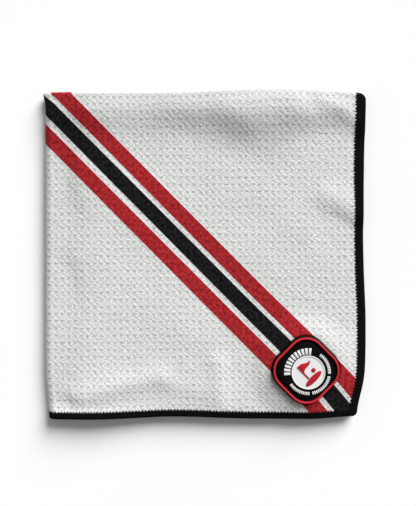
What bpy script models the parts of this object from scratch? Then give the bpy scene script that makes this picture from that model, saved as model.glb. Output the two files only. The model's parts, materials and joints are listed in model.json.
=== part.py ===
"""Magnetic golf towel, folded in quarters.

A square of waffle cloth is folded once about its top edge and then once about its left edge, so it lies
four layers deep. Looper threads wrap its cut edges in a black band, a needle thread runs along the band,
and a moulded patch that holds a magnet is sewn to the top layer.

Metres, +Z up. The origin is under the middle of the folded towel, on the surface that it lies on. +X
points right, away from the left fold, and +Y up, towards the top fold. The front half, which is the two
upper layers with the patch, turns about the left fold like a book's cover.
"""

import math

import bmesh
import bpy
from mathutils import Matrix, Vector

MM = 0.001
CLEARANCE = 0.3 * MM  # left between pieces that touch on the real towel

# Folded towel
WIDTH = 203 * MM
HEIGHT = 208 * MM
CLOTH = 1.5 * MM  # thickness of one layer
LAYER_PITCH = 2.4 * MM  # from the middle of one layer to the middle of the next: they lie loosely
MIDDLE = 1.5 * LAYER_PITCH + CLOTH / 2 + CLEARANCE / 2  # height of the plane between the halves
TOP = 2 * MIDDLE  # upper face of the top layer
LEFT_CREASE = -WIDTH / 2 + 1.5 * LAYER_PITCH + CLOTH / 2  # where the layers start to turn round the left fold
TOP_CREASE = HEIGHT / 2 - LAYER_PITCH / 2 - CLOTH / 2
LEFT_ARC = math.pi / 2 * LAYER_PITCH  # cloth taken by a quarter turn round the left fold
TOP_ARC = math.pi / 2 * LAYER_PITCH / 2
FLAT_HALF_WIDTH = LEFT_ARC + WIDTH / 2 - LEFT_CREASE
FLAT_HALF_HEIGHT = TOP_ARC + HEIGHT / 2 + TOP_CREASE
FOLD_STEPS = 5
HINGE = Vector((-WIDTH / 2 - CLEARANCE, 0, MIDDLE))

# Overlocked edge
SIDE_BAND = 5.4 * MM  # band along the left and right edges of the flat cloth
END_BAND = 4.4 * MM  # band along its top and bottom edges
BAND_WALL = 0.3 * MM
BAND_NOSE = 1.2 * MM  # solid thread outside the cut edge
CUT_EDGE = 1.5 * MM  # from the band's outer line in to the cut edge of the cloth
LIP = 0.3 * MM  # thickness of the cloth that the band squeezes
LIP_RUN = 0.7 * MM  # from the band to where the cloth starts to thicken
LIP_SLOPE = 0.2 * MM
THREAD = 0.36 * MM  # diameter of the needle thread
THREAD_LINE = 0.35 * MM  # its distance from the band
THREAD_HEIGHT = 0.48 * MM  # its height off the cloth's middle

# Patch, measured from the upper face of the cloth
PATCH_CENTRE = Vector((64.5, -72.4, 0)) * MM
PATCH_TURN = math.radians(45)
RIM_SIDE = 36.6 * MM
RIM_CORNER = 12.3 * MM
RIM_WIDTH = 1.2 * MM
RIM_FOOT = 3.9 * MM
PATCH_TOP = 5.2 * MM
BACKING_FOOT = 0.3 * MM
BACKING = 0.5 * MM
BODY_FOOT = 1.1 * MM
FLANGE_TOP = 2.1 * MM
FLANGE_REACH = 0.9 * MM
RIM_SEAT = 3.6 * MM
CHANNEL_WIDTH = 1.3 * MM
CHANNEL_FLOOR = 3.2 * MM
FIELD_TOP = 4.2 * MM
CORNER_STEPS = 7
PATCH_THREAD = 0.5 * MM

MAGNET_RADIUS = 12.5 * MM
MAGNET = 1.8 * MM
POCKET_RADIUS = MAGNET_RADIUS + CLEARANCE
POCKET_ROOF = 3.2 * MM

DISC_CENTRE = Vector((0, -1.7, 0)) * MM
DISC_RADIUS = 9.6 * MM
DISC_SEAT = 3.8 * MM
DISC_FOOT = 4.1 * MM
DISC_TOP = 4.6 * MM
HALO_INNER = 9.9 * MM
HALO_OUTER = 10.6 * MM
HALO_TOP = 4.9 * MM
ROUND_STEPS = 48

BAR_FOOT = 4.5 * MM
BAR_TOP = 4.9 * MM
MOTIF_FOOT = 4.9 * MM
RUNNER = 0.5 * MM  # the strip that joins a row of bars


def clear_scene():
    for old in list(bpy.data.objects):
        bpy.data.objects.remove(old, do_unlink=True)


def material(name, colour, roughness, metallic=0.0):
    made = bpy.data.materials.new(name)
    made.use_nodes = True
    shader = made.node_tree.nodes["Principled BSDF"]
    shader.inputs["Base Color"].default_value = (*colour, 1)
    shader.inputs["Roughness"].default_value = roughness
    shader.inputs["Metallic"].default_value = metallic
    made.diffuse_color = (*colour, 1)
    return made


def frame_empty(name, location, parent=None, turn=0.0):
    empty = bpy.data.objects.new(name, None)
    empty.location = location
    empty.rotation_euler = (0, 0, turn)
    empty.parent = parent
    bpy.context.scene.collection.objects.link(empty)
    return empty


def make_object(name, bm, finish, parent, offset=Vector((0, 0, 0)), smooth_under=35):
    """Turn a closed bmesh into an object under its parent, moved by offset into the parent's frame."""
    bmesh.ops.recalc_face_normals(bm, faces=bm.faces)
    bmesh.ops.translate(bm, verts=bm.verts, vec=offset)
    mesh = bpy.data.meshes.new(name)
    bm.to_mesh(mesh)
    bm.free()
    mesh.shade_smooth()
    mesh.set_sharp_from_angle(angle=math.radians(smooth_under))
    made = bpy.data.objects.new(name, mesh)
    made.data.materials.append(finish)
    made.parent = parent
    bpy.context.scene.collection.objects.link(made)
    return made


def join_loops(bm, loops, around):
    """Skin between loops of equally many points. The skin closes on itself, or ends in two caps."""
    rings = [[bm.verts.new(point) for point in loop] for loop in loops]
    following = rings[1:] + (rings[:1] if around else [])
    for ring, after in zip(rings, following):
        for i, vert in enumerate(ring):
            j = (i + 1) % len(ring)
            bm.faces.new((vert, ring[j], after[j], after[i]))
    if not around:
        bm.faces.new(rings[0])
        bm.faces.new(rings[-1])


def prism(outline, low, high):
    bm = bmesh.new()
    join_loops(bm, [[Vector((x, y, z)) for x, y in outline] for z in (low, high)], around=False)
    return bm


def arc(radius, start, end, steps, centre=(0, 0)):
    """Points of an arc, with its angles in degrees."""
    turns = [math.radians(start + (end - start) * step / steps) for step in range(steps + 1)]
    return [(centre[0] + radius * math.cos(turn), centre[1] + radius * math.sin(turn)) for turn in turns]


# The folded cloth ------------------------------------------------------------------------------------


def quarter_turn(distance, arc_length):
    """The straight run past a fold, and the angle round it: a right angle on the crease, then none."""
    angle = max(0.0, 1 - distance / arc_length) * math.pi / 2
    return max(0.0, distance - arc_length), angle


def folded(side, u, v, h):
    """Where a point of the flat cloth lies in the folded towel.

    side is +1 on the front half and -1 on the back half. u is the distance from the left crease and v
    from the top crease, negative on the outer layers. h is the height over the middle of the cloth, on
    its printed side.
    """
    across, roll = quarter_turn(u, LEFT_ARC)
    down, turn = quarter_turn(abs(v), TOP_ARC)
    if v > 0:
        turn = math.pi - turn
    reach = LAYER_PITCH / 2 + h
    radius = LAYER_PITCH + reach * math.cos(turn)
    return Vector(
        (
            LEFT_CREASE + across - radius * math.sin(roll),
            TOP_CREASE - down + reach * math.sin(turn),
            MIDDLE + side * (CLEARANCE / 2 + radius * math.cos(roll)),
        )
    )


def fold_lines(arc_length):
    return [arc_length * step / FOLD_STEPS for step in range(FOLD_STEPS + 1)]


def both_ways(lines):
    return [-line for line in reversed(lines) if line > 0] + lines


def edge_lines(half_length, band):
    """Distances from a crease to where the cloth starts to thin, to its lip, and to its cut edge."""
    lip = half_length - band - LIP_RUN
    return [lip - LIP_SLOPE, lip, half_length - CUT_EDGE]


def cloth_half(name, side, finish, parent, offset):
    """Half of the cloth: an outer and an inner layer joined round the top fold, thin in its bands."""
    side_edge = edge_lines(FLAT_HALF_WIDTH, SIDE_BAND)
    end_edge = edge_lines(FLAT_HALF_HEIGHT, END_BAND)
    us = fold_lines(LEFT_ARC) + side_edge
    vs = both_ways(fold_lines(TOP_ARC) + end_edge)

    def thickness(u, v):
        return LIP if u > side_edge[0] or abs(v) > end_edge[0] else CLOTH

    bm = bmesh.new()
    faces = {}
    for way in (1, -1):
        faces[way] = [[bm.verts.new(folded(side, u, v, way * thickness(u, v) / 2)) for v in vs] for u in us]
    columns = len(us) - 1
    rows = len(vs) - 1
    for grid in faces.values():
        for i in range(columns):
            for j in range(rows):
                bm.faces.new((grid[i][j], grid[i + 1][j], grid[i + 1][j + 1], grid[i][j + 1]))
    border = [(i, 0) for i in range(columns)] + [(columns, j) for j in range(rows)]
    border += [(i, rows) for i in range(columns, 0, -1)] + [(0, j) for j in range(rows, 0, -1)]
    for (i, j), (k, m) in zip(border, border[1:] + border[:1]):
        bm.faces.new((faces[1][i][j], faces[1][k][m], faces[-1][k][m], faces[-1][i][j]))
    return make_object(name, bm, finish, parent, offset)


def band_profile(width):
    """Section of the band: distance in from its outer line, and height over the middle of the cloth."""
    half = CLOTH / 2
    slot = half - BAND_WALL
    upper = [(width, slot), (width, half), (0.8 * MM, half), (0.25 * MM, 0.7 * half), (0, 0.25 * half)]
    lower = [(inset, -height) for inset, height in reversed(upper)]
    return upper + lower + [(BAND_NOSE, -slot), (BAND_NOSE, slot)]


def thread_profile(width):
    middle = (width + THREAD_LINE, THREAD_HEIGHT)
    return arc(THREAD / 2, 0, 300, 5, middle)


def side_strip(name, side, profile, finish, parent, offset):
    """A strip along the right edge of the folded towel, round the top fold from layer to layer."""
    vs = both_ways(fold_lines(TOP_ARC) + [FLAT_HALF_HEIGHT])
    bm = bmesh.new()
    join_loops(bm, [[folded(side, FLAT_HALF_WIDTH - a, v, h) for a, h in profile] for v in vs], around=False)
    return make_object(name, bm, finish, parent, offset)


def end_strip(name, side, layer, profile, finish, parent, offset):
    """A strip along the bottom edge of one layer: layer is -1 on an outer layer and +1 on an inner one."""
    us = fold_lines(LEFT_ARC) + [FLAT_HALF_WIDTH - SIDE_BAND - LIP_RUN]
    bm = bmesh.new()
    loops = [[folded(side, u, layer * (FLAT_HALF_HEIGHT - a), h) for a, h in profile] for u in us]
    join_loops(bm, loops, around=False)
    return make_object(name, bm, finish, parent, offset)


def towel_half(half, side, finishes, parent, offset):
    cloth_half(f"cloth_{half}_half", side, finishes["cloth"], parent, offset)
    kinds = (("edge_band", band_profile, finishes["band"]), ("seam_thread", thread_profile, finishes["thread"]))
    for kind, profile, finish in kinds:
        side_strip(f"{kind}_{half}_side", side, profile(SIDE_BAND), finish, parent, offset)
        for place, layer in (("outer", -1), ("inner", 1)):
            end_strip(f"{kind}_{half}_{place}_end", side, layer, profile(END_BAND), finish, parent, offset)


# The patch -------------------------------------------------------------------------------------------


def rounded_square(inset, height):
    """The rim's outline moved in by inset, at a height, as points anticlockwise."""
    corner = RIM_CORNER - inset
    reach = RIM_SIDE / 2 - RIM_CORNER
    points = []
    for quarter in range(4):
        turn = Matrix.Rotation(quarter * math.pi / 2, 2)
        middle = turn @ Vector((reach, reach))
        points += arc(corner, quarter * 90, quarter * 90 + 90, CORNER_STEPS, middle)
    return [Vector((x, y, height)) for x, y in points]


def cylinder(radius, low, high, centre=Vector((0, 0, 0))):
    outline = arc(radius, 0, 360 - 360 / ROUND_STEPS, ROUND_STEPS - 1, centre)
    return prism(outline, low, high)


def cut_with(target, name, bm, parent):
    """Take the bmesh's shape out of the target with a Boolean."""
    cutter = make_object(name, bm, target.data.materials[0], parent)
    cutter.hide_render = True
    cutter.display_type = "WIRE"
    cut = target.modifiers.new(name, "BOOLEAN")
    cut.operation = "DIFFERENCE"
    cut.object = cutter


def patch_body(finish, parent):
    """The black moulding: flange, wall, seat for the rim, sewing channel, and the raised field."""
    channel = RIM_WIDTH + CLEARANCE / 2
    field = RIM_WIDTH + CHANNEL_WIDTH
    steps = [
        (-FLANGE_REACH, BODY_FOOT),
        (-FLANGE_REACH, FLANGE_TOP),
        (0, FLANGE_TOP + CLEARANCE),
        (0, RIM_SEAT),
        (channel, RIM_SEAT),
        (channel, CHANNEL_FLOOR),
        (field, CHANNEL_FLOOR),
        (field, FIELD_TOP),
    ]
    bm = bmesh.new()
    join_loops(bm, [rounded_square(inset, height) for inset, height in steps], around=False)
    body = make_object("patch_body", bm, finish, parent)
    overrun = 1 * MM
    pocket = cylinder(POCKET_RADIUS, BODY_FOOT - overrun, POCKET_ROOF)
    cut_with(body, "magnet_pocket_cutter", pocket, parent)
    seat = cylinder(HALO_OUTER + CLEARANCE, DISC_SEAT, FIELD_TOP + overrun, DISC_CENTRE)
    cut_with(body, "disc_seat_cutter", seat, parent)


def patch_rim(finish, parent):
    """The raised ring round the patch, with its upper edges eased."""
    ease = 0.3 * MM
    steps = [
        (0, RIM_FOOT),
        (0, PATCH_TOP - ease),
        (ease, PATCH_TOP),
        (RIM_WIDTH - ease, PATCH_TOP),
        (RIM_WIDTH, PATCH_TOP - ease),
        (RIM_WIDTH, RIM_FOOT),
    ]
    bm = bmesh.new()
    join_loops(bm, [rounded_square(inset, height) for inset, height in steps], around=True)
    make_object("patch_rim", bm, finish, parent)


def patch_sewing(finish, parent):
    """The thread that lies in the channel and holds the patch to the cloth."""
    middle = (RIM_WIDTH + CHANNEL_WIDTH / 2, CHANNEL_FLOOR + CLEARANCE + PATCH_THREAD / 2)
    section = arc(PATCH_THREAD / 2, 0, 300, 5, middle)
    bm = bmesh.new()
    join_loops(bm, [rounded_square(inset, height) for inset, height in section], around=True)
    make_object("patch_sewing_thread", bm, finish, parent)


def patch_backing(finish, parent):
    bm = bmesh.new()
    inset = 0.5 * MM
    foot = rounded_square(inset, BACKING_FOOT)
    join_loops(bm, [foot, rounded_square(inset, BACKING_FOOT + BACKING)], around=False)
    make_object("patch_backing", bm, finish, parent)


def magnet(finish, parent):
    make_object("magnet_disc", cylinder(MAGNET_RADIUS, BODY_FOOT, BODY_FOOT + MAGNET), finish, parent)


def white_disc(finish, parent):
    make_object("white_disc", cylinder(DISC_RADIUS, DISC_FOOT, DISC_TOP), finish, parent, DISC_CENTRE)


def disc_halo(finish, parent):
    """The brighter ring that edges the white disc."""
    section = ((HALO_INNER, DISC_FOOT), (HALO_OUTER, DISC_FOOT), (HALO_OUTER, HALO_TOP), (HALO_INNER, HALO_TOP))
    bm = bmesh.new()
    loops = []
    for radius, height in section:
        circle = arc(radius, 0, 360 - 360 / ROUND_STEPS, ROUND_STEPS - 1)
        loops.append([Vector((x, y, height)) for x, y in circle])
    join_loops(bm, loops, around=True)
    make_object("disc_halo", bm, finish, parent, DISC_CENTRE)


def bar_row(name, inner, outer, start, end, bars, gap_share, finish, parent):
    """A row of raised bars round the disc, joined along their inner ends by a thin runner.

    start and end are the row's angles in degrees, and gap_share is the gap's part of each bar's pitch.
    """
    pitch = (end - start) / (bars - gap_share)
    outline = []
    for bar in range(bars):
        left = start + bar * pitch
        right = left + pitch * (1 - gap_share)
        outline += arc(inner + RUNNER, left, left, 1)[:1] if bar else []
        outline += arc(outer, left, right, 1)
        outline += arc(inner + RUNNER, right, right, 1)[:1] if bar < bars - 1 else []
    outline += arc(inner, end, start, bars)
    make_object(name, prism(outline, BAR_FOOT, BAR_TOP), finish, parent, DISC_CENTRE)


def motif(finish, parent):
    """A plain golf flag that waves over a green, in four pieces on the white disc."""
    pole = [(-2.9, -3.0), (-1.9, -3.0), (-1.9, 7.4), (-2.9, 7.4)]
    shares = [step / 8 for step in range(9)]
    waves = [0.5 * math.sin(2 * math.pi * share) for share in shares]
    upper = [(-1.6 + 7.5 * share, 7.2 - 2.2 * share + wave) for share, wave in zip(shares, waves)]
    lower = [(-1.6 + 7.5 * share, 1.8 + 2.6 * share + wave) for share, wave in zip(shares, waves)]
    flag = lower + upper[::-1]
    green = [(6.6 * x - 0.3, 1.9 * y - 5.1) for x, y in arc(1, 0, 345, 23)]
    ball = arc(1.35, 0, 330, 11, (3.4, -1.2))
    for name, outline in (("pole", pole), ("flag", flag), ("green", green), ("ball", ball)):
        scaled = [(x * MM, y * MM) for x, y in outline]
        make_object(f"motif_{name}", prism(scaled, MOTIF_FOOT, PATCH_TOP), finish, parent, DISC_CENTRE)


def patch(finishes, parent):
    patch_backing(finishes["backing"], parent)
    magnet(finishes["magnet"], parent)
    patch_body(finishes["patch_black"], parent)
    patch_rim(finishes["patch_red"], parent)
    patch_sewing(finishes["thread"], parent)
    white_disc(finishes["patch_white"], parent)
    disc_halo(finishes["patch_white"], parent)
    white = finishes["patch_white"]
    bar_row("bar_row_upper", 11.3 * MM, 15.3 * MM, 37, 142, 11, 0.32, white, parent)
    bar_row("bar_row_right", 12.3 * MM, 14.2 * MM, -48, 11, 12, 0.32, white, parent)
    bar_row("bar_row_lower", 12.3 * MM, 14.2 * MM, -124, -56, 13, 0.32, white, parent)
    bar_row("bar_row_left", 12.3 * MM, 14.2 * MM, -191, -132, 12, 0.32, white, parent)
    motif(finishes["patch_red"], parent)


def main():
    clear_scene()
    finishes = {
        "cloth": material("waffle_cloth", (0.72, 0.73, 0.72), 0.95),
        "band": material("looper_thread", (0.012, 0.012, 0.014), 0.8),
        "thread": material("needle_thread", (0.02, 0.02, 0.022), 0.7),
        "patch_black": material("black_soft_rubber", (0.01, 0.01, 0.011), 0.5),
        "patch_red": material("red_soft_rubber", (0.62, 0.03, 0.045), 0.5),
        "patch_white": material("white_soft_rubber", (0.8, 0.8, 0.79), 0.5),
        "backing": material("backing_felt", (0.03, 0.03, 0.03), 0.95),
        "magnet": material("nickel_plate", (0.7, 0.68, 0.64), 0.25, 1.0),
    }
    back = frame_empty("back_half_frame", (0, 0, 0))
    pivot = frame_empty("front_half_pivot", HINGE)
    towel_half("back", -1, finishes, back, Vector((0, 0, 0)))
    towel_half("front", 1, finishes, pivot, -HINGE)
    patch_place = PATCH_CENTRE + Vector((0, 0, TOP)) - HINGE
    patch(finishes, frame_empty("patch_frame", patch_place, pivot, PATCH_TURN))


main()
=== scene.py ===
"""The looks of the folded golf towel: waffle cloth, printed stripes, overlocked edge and moulded patch.

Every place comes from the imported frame. The cloth is one sheet: it is laid out flat, given its waffle
relief, and then folded twice by the same two turns that the CAD solids follow.
"""

import json
import math

import bmesh
import bpy
import numpy as np
from mathutils import Matrix, Vector


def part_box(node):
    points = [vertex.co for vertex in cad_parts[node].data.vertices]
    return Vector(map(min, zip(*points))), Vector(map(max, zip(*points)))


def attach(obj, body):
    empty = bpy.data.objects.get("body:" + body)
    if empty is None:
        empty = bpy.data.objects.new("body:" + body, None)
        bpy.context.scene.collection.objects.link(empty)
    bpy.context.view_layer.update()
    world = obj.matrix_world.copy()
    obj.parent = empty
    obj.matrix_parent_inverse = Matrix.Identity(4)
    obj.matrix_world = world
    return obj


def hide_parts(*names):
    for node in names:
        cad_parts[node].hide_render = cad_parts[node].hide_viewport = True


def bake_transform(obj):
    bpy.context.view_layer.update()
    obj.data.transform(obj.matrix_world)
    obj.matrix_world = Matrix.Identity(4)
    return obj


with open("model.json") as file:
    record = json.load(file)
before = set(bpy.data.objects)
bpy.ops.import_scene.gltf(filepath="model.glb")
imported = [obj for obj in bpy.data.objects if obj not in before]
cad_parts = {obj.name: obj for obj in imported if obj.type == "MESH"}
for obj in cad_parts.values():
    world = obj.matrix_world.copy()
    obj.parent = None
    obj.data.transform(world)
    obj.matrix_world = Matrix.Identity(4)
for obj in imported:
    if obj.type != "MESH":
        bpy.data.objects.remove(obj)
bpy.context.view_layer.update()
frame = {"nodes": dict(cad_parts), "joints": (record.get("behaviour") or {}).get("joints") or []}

MM = 0.001

# The folded towel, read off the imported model: the edges of its outline seen from above, and two heights
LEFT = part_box("edge_band_front_outer_end")[0].x
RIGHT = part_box("edge_band_front_side")[1].x
BOTTOM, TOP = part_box("edge_band_front_side")[0].y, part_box("edge_band_front_side")[1].y
MIDDLE = Vector(frame["joints"][0]["pos_m"]).z  # between the back half and the front half
CLOTH_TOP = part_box("cloth_front_half")[1].z

# The cloth's layers and its two folds
CLOTH = 1.5 * MM  # thickness
PITCH = 2.4 * MM  # from the middle of one layer to the middle of the next
HALF_GAP = MIDDLE - 1.5 * PITCH - CLOTH / 2  # half of the extra room between the two halves
LEFT_CREASE = LEFT + 1.5 * PITCH + CLOTH / 2  # where the left fold starts to turn
TOP_CREASE = TOP - PITCH / 2 - CLOTH / 2
LEFT_ARC = math.pi / 2 * PITCH  # half of the cloth that the left fold takes up
TOP_ARC = math.pi / 2 * PITCH / 2
HALF_WIDTH = LEFT_ARC + RIGHT - LEFT_CREASE  # of the flat sheet, from its centre to its cut edge
HALF_HEIGHT = TOP_ARC + TOP_CREASE - BOTTOM

# Spacing of the cloth's mesh
FINE = 0.44 * MM  # on the layer that shows
COARSE = 0.85 * MM  # on the others
CREASE_STEP, CREASE_GROWTH = 0.02 * MM, 1.3  # at the left crease, where the cloth turns as it opens
FOLD_STEP, FOLD_GROWTH = 0.2 * MM, 1.05  # at the top fold
CREASE_REACH = 6 * MM  # how far from a crease the spacing grows
THINNING = 3  # the plain side has every third line
CUT_INSET = 1.5 * MM  # the cloth ends this far inside the band's outer line
PLAIN_MARK = -0.01  # third number of cloth_place on the plain side; on the printed side it is 0

# Waffle. Each mark in its cell has its middle as shares of the cell, its lean in degrees, and its length
# and width.
CELL_U, CELL_V = 4.18 * MM, 4.57 * MM
WAFFLE_DEPTH = 0.42 * MM
FLAT_LOOP = ((-0.08, 0.42), -31, 3.3 * MM, 1.15 * MM)
STEEP_LOOP = ((0.42, -0.04), 50, 3.3 * MM, 1.05 * MM)
PIT_BRIM = ((0.01, 0.07), 0, 3.6 * MM, 0.65 * MM)
PIT_TAIL = ((0.0, -0.08), 80, 1.4 * MM, 0.65 * MM)
BLUNTNESS = 1.3  # how blunt the ends of the marks are, where 1 is round
FLAT_LOOP_HEIGHT = 0.7  # of the steep loop's
LOOP_SHARE, PIT_SHARE, DEEPEST = 0.65, 0.35, 1.3  # what makes up the depth, and its limit
WANDER = ((0.35 * MM, 9 * MM), (0.22 * MM, 2.4 * MM))  # how far the weave strays, over which distance
FUZZ = ((0.2, 1.1 * MM), (0.14, 1.9 * MM))  # unevenness of the depth, over which distance
PIT_UNEVEN = (0.3, 4 * MM)
PRINT_FLATTENS, PRINT_HIDES_PAINTED_LIGHT = 0.55, 0.4  # how much of the relief, and of its painted light and shade, the print takes away
FOLD_FLATTENS, FOLD_REACH = 0.6, 4 * MM  # how much of the relief the top fold stretches out
CREASE_SMOOTH = (0.4 * MM, 2.4 * MM)  # distances from the left crease over which the relief begins

# Overlocked edge
SIDE_BAND, END_BAND = 5.4 * MM, 4.4 * MM  # its widths along the sides and along the ends
FOLD_EXTRA = 0.9 * MM  # how much wider a side is where it runs over the fold
BAND_CORNER = 3.2 * MM
EDGE_STEP = 0.34 * MM  # spacing of its mesh
CORNER_STEPS = 10
STITCH = 2.05 * MM
TOOTH = 0.8 * MM  # length of the teeth along the band's inner line
TOOTH_ROOT = 0.4  # share of a tooth's length that lies within the band's width
LIP = 0.15 * MM  # half of the cloth's thickness where the band squeezes it
LIP_PLACE = (-1.8 * MM, -0.6 * MM)  # the cloth thins between these distances past the band's inner line
RIPPLE = 0.07 * MM  # height of the looper threads over the band
RIPPLE_LEAN = 0.6  # how far they lean over the band's width, in threads
# Upper half of its section: shares of its width, and heights in half thicknesses of the cloth
BAND_SECTION = ((1, 0.5), (1, 1.03), (0.93, 1.12), (0.75, 1.17), (0.5, 1.15), (0.25, 1.03), (0.1, 0.75))
STRAND = 0.16 * MM  # radius of the needle thread
STRAND_SIDES = 6
STRAND_INSET = 0.3 * MM  # how far inside the band's inner line it runs
STRAND_DEPTH, STRAND_DIP = 0.15 * MM, 0.25 * MM  # its middle's mean depth, and how far it goes up and down

# Printed band of stripes: each has a colour, the distance of its middle from the sheet's diagonal, and
# half its width, in millimetres. They drift and widen a little with distance from the sheet's centre.
STRIPE_TURN = math.radians(45.13)
STRIPES = (("red", -7.9, 4.5), ("black", 4.3, 4.5), ("red", 17.2, 4.5))
STRIPE_DRIFT = 0.0018
STRIPE_GROWTH = 0.0013

# Profiles along a side of the towel, in millimetres: a level, and then humps on it, each with its middle,
# its reach and its height
CREST = (95, (42, 30, -4))  # how far up the towel the ridge's crest lies
RIDGE_FOOT = (12.5, (44, 27, 5), (-38, 20, 4))  # how far the ridge's lower slope reaches
LEFT_STEP = (1.2, (42, 19, 0.9), (-13, 20, 0.6))  # height of the swell beside the left fold
LEFT_RISE = (0.95, (-13, 24, -0.55))  # share of that height that its rise has
RIGHT_SAG = (0.5, (30, 26, -0.8))  # how far the right edge hangs
BOTTOM_LIFT = (-0.2, (-82, 42, 2.2))  # how far the bottom edge stands up
RIGHT_SWAY = (1.1, (20, 45, -1.1), (-40, 22, 0.7))  # how far the outline moves out on each side
TOP_SWAY = (0, (48, 48, 2.2))
BOTTOM_SWAY = (0, (-18, 30, 1.4))

# Rises of the soft top layer, in millimetres: the two ends of each crest, how far its slopes reach, and
# its height
WRINKLES = (
    ((74, 100), (102, 80), 5.5, 1.1),
    ((80, 35), (104, 25), 8.5, 1.2),
    ((84, 15), (104, 7), 10, -1.5),
    ((-82, -89), (-26, -76), 7.5, 1.3),
    ((-26, -80), (0, -86), 7.5, 0.5),
    ((8, -68), (11, -98), 6.5, 1.1),
    ((84, -26), (98, -30), 18, -0.6),
    ((-48, 24), (-20, -14), 12, 0.5),
    ((-60, -25), (0, -45), 16, 0.5),
    ((98, -56), (98, -85), 10, 0.9),
    ((20, 60), (60, 20), 14, 0.4),
)

# The rest of its shape and of the outline's, in millimetres
RIDGE_LOW, RIDGE_RISE = 3.5, 3.9  # the ridge's height at its ends, and how much higher its middle is
RIDGE_BACK = 30  # how far its upper slope reaches
SETTLED = 0.8  # how far the layer's own weight presses it down
UNEVEN_BROAD, UNEVEN_FINE = (0.4, 30), (0.15, 13)  # unevenness of its height, over which distance
BEND = (2.5, 24)  # how far all these forms stray sideways, over which distance
LOWEST, SOFTNESS = 1.2, 0.3  # the layers below can be pressed down this far, and stop this softly
PATCH_PLATEAU = 0.35  # the cloth under the patch stands this far up, as the patch has sunk into it
PATCH_HOLD = (20, 36)  # the patch holds the cloth level up to the first distance, less up to the second
CORNER_WIDTH, CORNER_DEPTH = 3.6, 5.5  # of the rounded corner at the top right

# The cloth's swell round the patch: its height, and distances from the patch's rim
COLLAR = 1.0 * MM
COLLAR_FOOT, COLLAR_CREST, COLLAR_REACH = 0.6 * MM, 1.6 * MM, 20 * MM

# The patch. Its pieces are made upright round the rim's middle, on the plane of the cloth's top, and then
# turned into place.
PATCH_ANGLE = math.radians(45)
RIM_LOW, RIM_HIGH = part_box("patch_rim")
PATCH = Vector(((RIM_LOW.x + RIM_HIGH.x) / 2, (RIM_LOW.y + RIM_HIGH.y) / 2, CLOTH_TOP))
DISC = (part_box("disc_halo")[0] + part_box("disc_halo")[1]) / 2 - PATCH
RIM_TOP = (RIM_HIGH.z - CLOTH_TOP) / MM
RIM_SIDE, RIM_CORNER = 36.6 * MM, 12.3 * MM
RIM_WIDTH = 1.2
FIELD_INSET = 2.8
RING_STEPS = 20
SHARP = math.radians(40)  # edges of the mouldings that turn by more than this stay sharp
MERGE = 0.002 * MM  # points closer than this become one

# Sections of its mouldings, in millimetres: insets from the rim's outline, and heights over the cloth
BODY_SECTION = (
    (-0.9, 0.9),  # flange
    (-0.9, 1.8),
    (0.05, 2.1),  # wall
    (0.05, 3.8),
    (RIM_WIDTH, 3.8),  # under the rim
    (RIM_WIDTH, 3.0),  # sewing channel
    (FIELD_INSET, 3.0),
    (FIELD_INSET + 0.2, 4.2),  # field
    (FIELD_INSET + 2, 4.2),
)
RIM_SECTION = ((0, 3.6), (0, RIM_TOP), (RIM_WIDTH, RIM_TOP), (RIM_WIDTH, 3.6))
CHANNEL_THREAD = (2.1, 3.2)  # middle of the sewing thread
CHANNEL_THREAD_RADIUS = 0.25
# The same, but with radii round the disc's middle in place of insets
HALO_SECTION = ((9.9, 3.9), (9.9, 4.85), (10.65, 4.85), (10.65, 3.9))
DISC_SECTION = ((9.95, 3.9), (9.95, 4.5), (9.2, 4.55), (0.1, 4.55))
DISC_SEAT = ((10.75, 4.2), (10.7, 3.85))
MAGNET_POCKET = ((12.8, 3.0), (12.8, 0.9))  # round the patch's own middle

# Raised bars: inner and outer radius, first and last direction in degrees, how many, and their CAD node
BAR_ROWS = {
    "bars_upper": (11.3, 15.3, 37, 142, 11, "bar_row_upper"),
    "bars_right": (12.3, 14.2, -48, 11, 12, "bar_row_right"),
    "bars_lower": (12.3, 14.2, -124, -56, 13, "bar_row_lower"),
    "bars_left": (12.3, 14.2, -191, -132, 12, "bar_row_left"),
}
BAR_GAP = 0.32  # share of a bar's pitch that is gap
BAR_HEIGHTS = (4.1 * MM, 4.65 * MM)
MOTIF_HEIGHTS = (4.4 * MM, 4.95 * MM)
MARK_EDGE = 0.14 * MM  # rounding of the marks' upper edges


# Noise and shape helpers ------------------------------------------------------------------------------


def ease(x, low=0.0, high=1.0):
    """Smooth step from 0 at low to 1 at high."""
    t = np.clip((x - low) / (high - low), 0, 1)
    return t * t * (3 - 2 * t)


def bump(x, middle, reach):
    """A smooth hump one high, as wide as about twice its reach."""
    return np.exp(-(((x - middle) / reach) ** 2))


def profile(x, level, *humps):
    """A level with humps on it, each given by its middle, its reach and its height."""
    return level + sum(height * bump(x, middle, reach) for middle, reach, height in humps)


def noise(x, y, size, seed):
    """Smooth noise from -1 to 1 whose features are about size across."""
    rng = np.random.default_rng(seed)
    table = rng.uniform(-1, 1, (64, 64))
    i, j = np.floor(x / size).astype(int), np.floor(y / size).astype(int)
    s, t = ease(x / size - i), ease(y / size - j)
    a, b = table[i % 64, j % 64], table[(i + 1) % 64, j % 64]
    c, d = table[i % 64, (j + 1) % 64], table[(i + 1) % 64, (j + 1) % 64]
    return (a + (b - a) * s) * (1 - t) + (c + (d - c) * s) * t


# Folding ----------------------------------------------------------------------------------------------
# ridge, swell, edges, wrinkle and the inside of lift and relax work in millimetres.


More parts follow.
